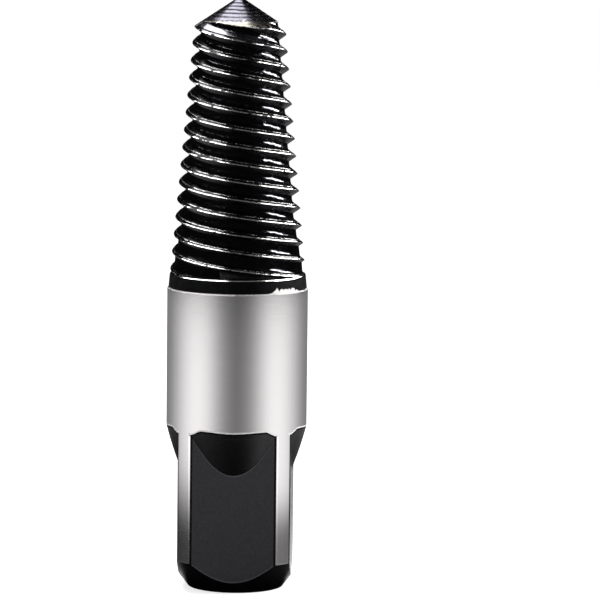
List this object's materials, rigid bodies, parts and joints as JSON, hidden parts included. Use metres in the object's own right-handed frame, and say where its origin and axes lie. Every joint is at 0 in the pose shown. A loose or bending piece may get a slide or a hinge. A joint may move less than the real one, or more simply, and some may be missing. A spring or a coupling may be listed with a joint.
{
  "type": "broken pipe extractor",
  "caption": "Solid steel tool with a square drive end, a plain ground round collar and a tapered, pointed head whose coarse left-hand thread grips the bore of a broken pipe.",
  "frame": {"origin": "centre of the square end's face, which the tool stands on", "axes": "+Z along the tool's axis from the square end to the point; the flats of the square face +X, -X, +Y and -Y"},
  "size_m": [0.02, 0.02, 0.0841],
  "materials": {
    "tool_steel": "black oxide on the threaded head, flats and end chamfer; bright ground collar and square corners"
  },
  "bodies": {
    "root": {"extractor": "tool_steel"}
  },
  "joints": []
}
